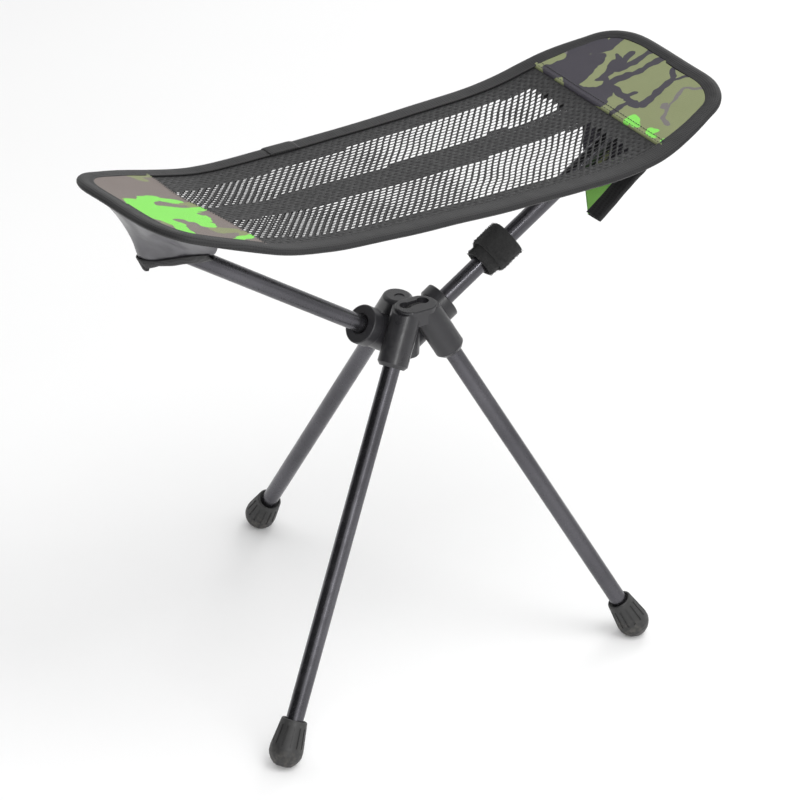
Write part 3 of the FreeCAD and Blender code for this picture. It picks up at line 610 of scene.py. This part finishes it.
def net_layer(name, lift, pitch, row, turn, phase, open_hole, dense_hole, wider, material):
    """Knitted net of staggered cells, each with a slanting hole that closes up outside the strips."""
    corners, faces, index = [], [], {}
    cos, sin = math.cos(turn), math.sin(turn)

    def spread_out(x, across):
        """Turn, lean and uneven pull of the knit, with the outer rows kept straight."""
        x += LEAN * across
        calm = max(0.0, 1 - (abs(across) / 80) ** 4)
        pull = noise.noise(Vector((x / 44, across / 30, 0))) * 1.3
        own = noise.noise(Vector((x / 24, across / 30, lift + 7))) * 0.7
        ease = noise.noise(Vector((x / 30, across / 40, lift + 5))) * 0.5
        return x * cos - across * sin + (pull + own) * calm, x * sin + across * cos + ease * calm

    def corner(x, across):
        key = (round(x * 50), round(across * 50))
        if key not in index:
            index[key] = len(corners)
            corners.append(seat_point(*spread_out(x, across), lift))
        return index[key]

    shape = ((0.75, 0.5), (0.25, -0.5), (-0.75, -0.5), (-0.25, 0.5))
    reach_x, reach_y = SEAM + 6, HALF_WIDTH - 6
    for j in range(-int(reach_y / row), int(reach_y / row) + 1):
        for i in range(-int(reach_x / pitch) - 3, int(reach_x / pitch) + 3):
            cx = (i + 0.5 * (j % 2)) * pitch + phase[0]
            cy = j * row + phase[1]
            if abs(cx + LEAN * cy) > reach_x - pitch / 2:
                continue
            ring = [corner(cx + a * pitch, cy + b * row) for a, b in shape]
            open_knit = in_open_strip(cx + LEAN * cy, cy, wider)
            wide, tall = open_hole if open_knit else dense_hole
            if not wide:
                faces.append(tuple(reversed(ring)))
                continue
            hole = []
            for k in range(4):
                (a1, b1), (a0, b0), (a2, b2) = shape[k], shape[k - 1], shape[(k + 1) % 4]
                for end_a, end_b in ((a0, b0), (a2, b2)):
                    a, b = a1 * (1 - CUT) + end_a * CUT, b1 * (1 - CUT) + end_b * CUT
                    over = 0.5 * b * tall
                    x, y = cx + ((a - 0.5 * b) * wide + over) * pitch, cy + b * row * tall
                    hole.append(len(corners))
                    corners.append(seat_point(*spread_out(x, y), lift + 0.1))
            for k in range(4):
                a, b = ring[k], ring[(k + 1) % 4]
                left, right, before = hole[2 * k], hole[2 * k + 1], hole[(2 * k + 2) % 8]
                faces.append((a, left, right))
                faces.append((b, a, right, before))
    piece = mesh_piece(name, corners, faces, material)
    return thickened(piece, 0.36)


def make_net():
    top = net_layer("net_face", 0.7, 6.3, 4.13, 0.0, (0, 0), (0.69, 0.88), (0.16, 0.16), 0.0, NET)
    back = net_layer("net_back", -1.0, 6.27, 4.13, 0.003, (1.7, 2.3), (0.78, 0.9), (0, 0), 7.0, NET_BACK)
    on_body(top, "frame", "mesh", "seat_mesh")
    on_body(back, "frame", "mesh")


# ---------------------------------------------------------------- edge tape and stitches
def tape_section(width, puff):
    """Folded tape from its upper edge round the sling's edge to its lower edge: inward and up."""
    return (
        (width, 1.25), (width - 0.9, 1.75), (width - 2.3, 1.55), (width * 0.6, 2.15 * puff),
        (width * 0.35, 2.35 * puff), (2.6, 2.2), (1.0, 1.7), (0.2, 0.8), (0.0, 0.0), (0.2, -0.8),
        (1.0, -1.7), (2.6, -2.2), (width * 0.5, -2.3 * puff), (width - 2.3, -1.7), (width - 0.9, -1.8),
        (width, -1.3),
    )


def make_edge_tape():
    places, distances, normals = outline_loop(1.6)
    corners, path, rings = [], [], []
    for k, (place, along, normal) in enumerate(zip(places, distances, normals)):
        width = binding_width(place.x, place.y) + 0.5 * noise.noise(Vector((along / 23, 3, 0)))
        puff = 1.0 + 0.16 * noise.noise(Vector((along / 11, 0, 0)))
        pucker = 0.16 if k % 2 else -0.16
        ring, over = [], 0.0
        before = None
        for number, (inward, up) in enumerate(tape_section(width, puff)):
            if number in (2, 13):
                up += pucker if up < 0 else -pucker
            spot = place - normal * inward
            ring.append(len(corners))
            corners.append(seat_point(spot.x, spot.y, up))
            if before:
                over += math.hypot(inward - before[0], up - before[1])
            before = (inward, up)
            path.append((along, over))
        rings.append(ring)
    tape = mesh_piece("edge_tape", corners, swept(rings, True, slit=True), TAPE, path)
    thickened(tape, 0.8, INWARD)
    on_body(tape, "frame", "binding", "edge_binding")
    make_tape_stitches()


STITCH = (
    # share of the length, swelling and height of each ring
    (0, 0.45, -0.25), (0.18, 1, 0.12), (0.5, 1.1, 0.22), (0.82, 1, 0.12), (1, 0.45, -0.25),
)


def stitch(corners, faces, start, end, up, radius):
    """One lockstitch: a short rounded thread that dips at both ends."""
    run = (end - start).normalized()
    side = run.cross(up).normalized()
    rings = []
    for share, swell, height in STITCH:
        centre = start.lerp(end, share) + up * height
        ring = []
        for k in range(6):
            angle = k * math.pi / 3
            ring.append(len(corners))
            corners.append(centre + (side * math.cos(angle) + up * math.sin(angle)) * radius * swell)
        rings.append(ring)
    first = rings[0][0]
    faces.extend(swept(rings, False, True, first))


def make_tape_stitches():
    places, _, normals = outline_loop(3.2)
    corners, faces = [], []
    count = len(places)
    for k in range(count):
        for lift, sign in ((1.66, 1), (-1.8, -1)):
            ends = []
            for place in (k, (k + 1) % count):
                spot = places[place]
                inner = spot - normals[place] * (binding_width(spot.x, spot.y) - 2.3)
                ends.append(seat_point(inner.x, inner.y, lift))
            start, end = ends[0].lerp(ends[1], 0.12), ends[0].lerp(ends[1], 0.88)
            stitch(corners, faces, start, end, Vector((0, 0, sign)), 0.3)
    on_body(mesh_piece("edge_stitches", corners, faces, THREAD), "frame", "binding")


def make_lap():
    """Where the tape's two ends overlap on the far edge: one more layer, its end turned under."""
    places, distances, normals = outline_loop(1.6)
    picked = [k for k, p in enumerate(places) if p.y > 0 and -75 < p.x < -46]
    picked.sort(key=lambda k: places[k].x)
    corners, path, rings = [], [], []
    for number, k in enumerate(picked):
        place, normal = places[k], normals[k]
        width = binding_width(place.x, place.y) + 0.7
        edge = min(number, len(picked) - 1 - number)
        swell = (0.35, 0.85, 1.0)[min(edge, 2)]
        ring, over, before = [], 0.0, None
        for inward, up in tape_section(width, 1.0):
            grow = 0.75 * swell
            spot = place - normal * (inward - 0.5 * swell)
            ring.append(len(corners))
            corners.append(seat_point(spot.x, spot.y, up + math.copysign(grow, up) if up else 0.0))
            if before:
                over += math.hypot(inward - before[0], up - before[1])
            before = (inward, up)
            path.append((distances[k], over))
        rings.append(ring)
    lap = mesh_piece("tape_lap", corners, swept(rings, False, slit=True), TAPE, path)
    thickened(lap, 0.8, INWARD)
    on_body(lap, "frame", "binding", "binding_lap")
    corners, faces = [], []
    for x in (-72.6, -70.4, -48.6):
        for k in range(4):
            start, end = (seat_point(x, HALF_WIDTH - 2.6 - 2.7 * s, 3.05) for s in (k, k + 0.8))
            stitch(corners, faces, start, end, Vector((0, 0, 1)), 0.3)
    on_body(mesh_piece("lap_stitches", corners, faces, THREAD), "frame", "binding")


# ---------------------------------------------------------------- end panels
def seam_bow(side, across):
    """How far the seam at the left bows towards the tip; the one at the right is straight."""
    return 6.0 * math.exp(-((across - 30) / 35) ** 2) if side < 0 else 0.0


def end_grid(side, lift, first, margin, columns, rows, wrinkle, seam_fold):
    """Grid over one end of the sling, from near the seam to under the edge tape."""
    corners, path = [], []
    last = END - margin
    for i in range(columns + 1):
        t = i / columns
        x = first + (last - first) * (1 - (1 - t) ** 1.6)
        half = plan_half_width(min(x + margin * 0.4, END)) - margin
        if x > CORNER:
            half -= 0.18 * (x - CORNER)
        for j in range(rows + 1):
            across = half * (2 * j / rows - 1)
            bow = seam_bow(side, across) * (1 - t) ** 3 if seam_fold else 0.0
            crease = wrinkle * noise.noise(Vector((x / 14, across / 26, side * 5)))
            near_seam = min(1.0, (x - first) / 5.0)
            height = lift + crease * near_seam + (0.5 * math.sin(near_seam * math.pi) if seam_fold else 0.0)
            if seam_fold and i == 0:
                height -= 0.9
            corners.append(seat_point(side * (x + bow), across, height))
            path.append((x, across))
    return corners, grid_faces(columns, rows, side < 0), path


def make_end(side):
    name = "left" if side < 0 else "right"
    corners, faces, path = end_grid(side, 1.75, SEAM - 1.5, 8.0, 60, 90, 0.35, True)
    panel = mesh_piece(f"end_cloth_{name}", corners, faces, PRINTS[side], path)
    thickened(panel, 0.6)
    on_body(panel, "frame", "print_cloth", f"end_panel_{name}")
    corners, faces, path = end_grid(side, -1.75, SEAM + 2.0, 8.0, 40, 60, 0.35, False)
    lining = mesh_piece(f"end_lining_{name}", corners, [tuple(reversed(f)) for f in faces], CLOTH_BACK, path)
    thickened(lining, 0.5)
    on_body(lining, "frame", "pocket_cloth", f"end_board_{name}")
    make_seam_stitches(side)


def make_seam_stitches(side):
    """Rows of stitches that hold an end panel to the net: one row at the left, two at the right."""
    corners, faces = [], []
    rows = (1.6,) if side < 0 else (1.2, 5.0)
    half = HALF_WIDTH - 14
    for off in rows:
        across = -half
        while across < half - 3:
            ends = []
            for y in (across, across + 2.5):
                ends.append(seat_point(side * (SEAM + off + seam_bow(side, y) - 0.5), y, 2.35))
            stitch(corners, faces, ends[0], ends[1], Vector((0, 0, 1)), 0.28)
            across += 3.2
    name = "left" if side < 0 else "right"
    on_body(mesh_piece(f"seam_stitches_{name}", corners, faces, THREAD), "frame", "print_cloth")


# ---------------------------------------------------------------- pockets under the ends
def arm_underside(x, gap):
    """Height of a line a gap below an arm's tube."""
    return ARM_CROSS.z + math.tan(ARM_SLOPE) * abs(x) - (TUBE_RADIUS + gap) / math.cos(ARM_SLOPE)


def smooth_line(points, count):
    """Even points on a Catmull-Rom curve through a few given ones."""
    points = [Vector(p) for p in points]
    full = [2 * points[0] - points[1], *points, 2 * points[-1] - points[-2]]
    made = []
    for k in range(count + 1):
        t = k / count * (len(points) - 1)
        i = min(int(t), len(points) - 2)
        t -= i
        a, b, c, d = full[i:i + 4]
        made.append(0.5 * (2 * b + (c - a) * t + (2 * a - 5 * b + 4 * c - d) * t * t
                           + (3 * b - a - 3 * c + d) * t ** 3))
    return made


def lofted(lines, count, steps):
    """Grid of points through several curves, each smoothed, and smooth across them too."""
    fine = [smooth_line(line, count) for line in lines]
    return [smooth_line([line[k] for line in fine], steps) for k in range(count + 1)]


def grid_faces(columns, rows, flip=False):
    faces = []
    for i in range(columns):
        for j in range(rows):
            a = i * (rows + 1) + j
            face = (a, a + rows + 1, a + rows + 2, a + 1)
            faces.append(tuple(reversed(face)) if flip else face)
    return faces


def hung(places):
    """Points given as distance along the sling, distance across it and drop below its middle."""
    return [Vector((x, PLANE + across, seat_height(x) - drop)) for x, across, drop in places]


def make_left_pocket():
    """Pocket drawn tight over the tip of the left arm: it hangs from the end tape as a small hood."""
    top = [(-205, 74), (-228, 70), (-250, 42), (-256, 0), (-250, -42), (-232, -68), (-220, -76)]
    top = [seat_point(x, y, -2.6) for x, y in top]
    middle = hung((
        (-203, 66, 16), (-222, 46, 22), (-243, 18, 21), (-247, 0, 20), (-241, -18, 18), (-226, -44, 13),
        (-220, -70, 6),
    ))
    low = hung((
        (-196, 58, 24), (-213, 34, 38), (-232, 12, 42), (-240, 0, 41), (-234, -13, 37), (-222, -38, 22),
        (-220, -64, 9),
    ))
    columns = lofted([top, middle, low], 72, 28)
    corners = [p for column in columns for p in column]
    for k, point in enumerate(corners):
        corners[k] = point + Vector((-1, -0.4, 0)) * 1.3 * noise.noise(point / 17)
    cloth = mesh_piece("tip_pocket_cloth_left", corners, grid_faces(72, 28), CLOTH_BACK)
    thickened(cloth, 0.7)
    on_body(cloth, "frame", "pocket_cloth", "tip_pocket_left")
    mouth = [column[-1] for column in columns]
    widths = (9.0, 10.0, 12.0, 12.0, 5.5, 7.0, 5.0)
    make_band("pocket_tape_left", mouth, Vector((0.6, 0, -1)), widths, "pocket_binding_left")


def make_band(name, line, fall, widths, node):
    """Bound edge: a folded tape that hangs from a line, its width given at even steps along it."""
    corners, path, rings = [], [], []
    gone = 0.0
    count = len(line)
    for k, point in enumerate(line):
        if k:
            gone += (point - line[k - 1]).length
        run = (line[min(k + 1, count - 1)] - line[max(k - 1, 0)]).normalized()
        down = (fall - run * fall.dot(run)).normalized()
        out = run.cross(down).normalized()
        step = k / (count - 1) * (len(widths) - 1)
        before = min(int(step), len(widths) - 2)
        wide = widths[before] + (widths[before + 1] - widths[before]) * (step - before)
        wide *= 1 + 0.1 * noise.noise(Vector((gone / 12, 7, 0)))
        section = (
            (-1.0, 1.0), (-0.6, 1.45), (wide * 0.4, 1.5), (wide - 2, 1.3), (wide - 0.5, 0.8), (wide, 0),
            (wide - 0.5, -0.8), (wide - 2, -1.3), (wide * 0.4, -1.5), (-0.6, -1.45), (-1.0, -1.0),
        )
        ring = []
        for number, (over, side) in enumerate(section):
            ring.append(len(corners))
            corners.append(point + down * over + out * side)
            path.append((gone, number * wide / 5))
        rings.append(ring)
    band = mesh_piece(name, corners, swept(rings, False, slit=True), TAPE_DARK, path)
    thickened(band, 0.7, INWARD)
    on_body(band, "frame", "binding", node)


def make_right_pocket():
    """Pocket at the right hangs open under the arm, its printed inside showing, with painted light on its
    pale green patches.
    """
    columns, rows = 44, 40
    corners = []
    for i in range(columns + 1):
        t = i / columns
        for j in range(rows + 1):
            over = 2 * j / rows - 1
            x = (175 + 31 * over) * (1 - t) + (246 + 2 * over) * t
            across = (46 - 6 * t) * over
            level = arm_underside(x, 1.0)
            lifted = (11.0 + 6.0 * t) * abs(over) ** 1.6
            height = min(level + lifted, seat_height(x) - 5.0)
            height += 0.6 * noise.noise(Vector((x / 14, across / 12, 2)))
            corners.append(Vector((x, PLANE + across, height)))
    cloth = mesh_piece("tip_pocket_cloth_right", corners, grid_faces(columns, rows), POCKET_PRINT_AND_PAINTED_LIGHT)
    thickened(cloth, 0.7)
    on_body(cloth, "frame", "pocket_cloth", "tip_pocket_right")
    near = [corners[i * (rows + 1)] for i in range(columns + 1)]
    far = [corners[i * (rows + 1) + rows] for i in range(columns + 1)]
    make_band("pocket_tape_right_near", near, Vector((0, -1, -0.15)), (13.5, 12.5, 12.0),
              "pocket_binding_right_near")
    make_band("pocket_tape_right_far", list(reversed(far)), Vector((0, 1, -0.15)), (12.0, 12.0),
              "pocket_binding_right_far")


# ---------------------------------------------------------------- strap
def rounded_square(angle):
    """Radius of the strap's section round the arm, over its half width."""
    square = (abs(math.cos(angle)) ** 4.2 + abs(math.sin(angle)) ** 4.2) ** (-1 / 4.2)
    return 0.35 + 0.65 * square


def make_strap_turn(name, start, inside, width, turn, node):
    """One loose turn of hook-and-loop tape round the right arm."""
    along = Vector((math.cos(ARM_SLOPE), 0, math.sin(ARM_SLOPE)))
    side = Vector((0, -1, 0))
    up = along.cross(side) * -1
    rows = (0.0, 0.5, 1.5, 3, 6, 9, 12, 15, 18, 21, 22.5, width - 1, width - 0.4, width)
    rings, corners = [], []
    count = 96
    for thickness, order in ((2.7, rows), (0.0, tuple(reversed(rows)))):
        for row in order:
            edge = min(row, width - row)
            pinch = 0.75 * max(0.0, 1 - edge / 1.2)
            reach = inside + (thickness - pinch if thickness else pinch)
            ring = []
            for k in range(count):
                angle = 2 * math.pi * k / count
                radius = reach * rounded_square(angle) + 0.5 * noise.noise(
                    Vector((math.cos(angle) * 2, math.sin(angle) * 2, row / 9 + start))
                )
                spun = angle + turn
                centre = ARM_CROSS + along * (start + row)
                ring.append(len(corners))
                corners.append(centre + (side * math.cos(spun) + up * math.sin(spun)) * radius)
            rings.append(ring)
    turn_piece = mesh_piece(name, corners, swept(rings, True), FUZZ)
    fuzz = turn_piece.modifiers.new("finer", "SUBSURF")
    fuzz.levels = fuzz.render_levels = 1
    on_body(turn_piece, "strap", "strap_tape", node)
    make_pile(f"{name}_pile", start, inside + 2.7, width, turn)


def make_pile(name, start, inside, width, turn):
    """Stray loops that stand out of the tape's outer face."""
    rng = random.Random(name)
    along = Vector((math.cos(ARM_SLOPE), 0, math.sin(ARM_SLOPE)))
    side = Vector((0, -1, 0))
    up = along.cross(side) * -1
    corners, faces = [], []
    for _ in range(1500):
        angle = rng.uniform(0, 2 * math.pi)
        row = rng.uniform(0.4, width - 0.4)
        radius = inside * rounded_square(angle) - 0.3
        out = side * math.cos(angle + turn) + up * math.sin(angle + turn)
        round_it = along.cross(out)
        root = ARM_CROSS + along * (start + row) + out * radius
        lean = along * rng.uniform(-1, 1) + round_it * rng.uniform(-1, 1)
        tall = rng.uniform(0.6, 1.5)
        tip = root + out * tall + lean * 0.6
        back = root + lean * rng.uniform(0.5, 1.2)
        thick = out.cross(lean).normalized() * 0.11
        first = len(corners)
        for point in (root, tip, back):
            corners.extend((point - thick, point + thick))
        faces.extend(((first, first + 2, first + 3, first + 1), (first + 2, first + 4, first + 5, first + 3)))
    on_body(mesh_piece(name, corners, faces, FUZZ), "strap", "strap_tape")


def make_strap():
    start = 88.0
    make_strap_turn("strap_inner", start, TUBE_RADIUS + 2.6, 25.0, 0.5, "strap_loop_turn")
    make_strap_turn("strap_outer", start + 9.0, TUBE_RADIUS + 5.9, 23.0, 0.62, "strap_hook_turn")


# ---------------------------------------------------------------- carried-over CAD nodes
def paint_frame():
    finishes = {
        "tube": tube_finish("tube_anodising", grey(0.085, COOL), grey(0.12, COOL), 0.24),
        "moulding": moulded_finish("hub_moulding", grey(0.024, COOL), grey(0.032, COOL), 0.3, 700.0),
        "foot_rubber": moulded_finish("foot_rubber", grey(0.026), grey(0.038), 0.55, 500.0, 0.35),
        "plug": moulded_finish("plug_plastic", grey(0.03), grey(0.04), 0.5, 600.0),
        "cord": cord_finish(),
    }
    kinds = (("leg_tube", "tube"), ("arm_tube", "tube"), ("hub", "moulding"), ("foot", "foot_rubber"),
             ("arm_cap", "plug"), ("cord_plug", "plug"), ("front_leg_cord", "cord"),
             ("back_leg_cord", "cord"), ("arm_cord", "cord"))
    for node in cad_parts:
        for start, finish in kinds:
            if node.startswith(start):
                piece = bpy.data.objects[node]
                for slot in piece.material_slots:
                    slot.material = finishes[finish]


COOL = (1.0, 0.98, 1.08)
FLOOR = floor_finish()
NET = net_finish("net_yarn", grey(0.004, COOL), grey(0.014, COOL))
NET_BACK = net_finish("net_yarn_back", grey(0.006, COOL), grey(0.016, COOL))
TAPE = binding_finish("edge_tape_weave", grey(0.004, COOL), grey(0.011, COOL))
TAPE_DARK = binding_finish("pocket_tape_weave", grey(0.004, COOL), grey(0.013, COOL))
THREAD = thread_finish()
FUZZ = fuzzy_finish("hook_and_loop", 0.029)
PRINTS = {
    -1: camouflage("print_left", TAUPE, LEFT_PRINT),
    1: camouflage("print_right", OLIVE, RIGHT_PRINT),
}
# Inside of the right pocket: a dark charcoal ground, olive blots and pale green patches by the near corner;
# that green is lighter than the print's own, painted light where the inside shows.
POCKET_PRINT_AND_PAINTED_LIGHT = camouflage("print_pocket_and_painted_light", CHARCOAL, (
    (OLIVE, ((190, -2, 206, 10, 6), (216, -30, 236, -20, 9))),
    (srgb(176, 255, 124), ((146, -46, 176, -26, 19), (150, -30, 188, -40, 12))),
))


def cloth_back_finish():
    """Coated back of the printed cloth: smooth grey film over a faint weave."""
    made = Finish("coated_back", Roughness=0.34, IOR=1.5, Coat_Weight=0.3, Coat_Roughness=0.2)
    place = made.place()
    cloud = made.noise(place, 40.0, 3.0)
    made.colour(made.mix(made.spread(cloud, 0.35, 0.65), grey(0.05, COOL), grey(0.105, COOL)))
    made.roughness(made.spread(cloud, 0.3, 0.7, 0.28, 0.42))
    made.bump(made.wave(place, 300.0, "X", 1.0), 0.00006, 0.4)
    made.bump(made.noise(place, 70.0, 2.0), 0.0012, 0.5)
    return made.material


CLOTH_BACK = cloth_back_finish()

make_camera()
make_studio()
paint_frame()
make_net()
make_edge_tape()
make_lap()
for end in (-1, 1):
    make_end(end)
make_left_pocket()
make_right_pocket()
make_strap()
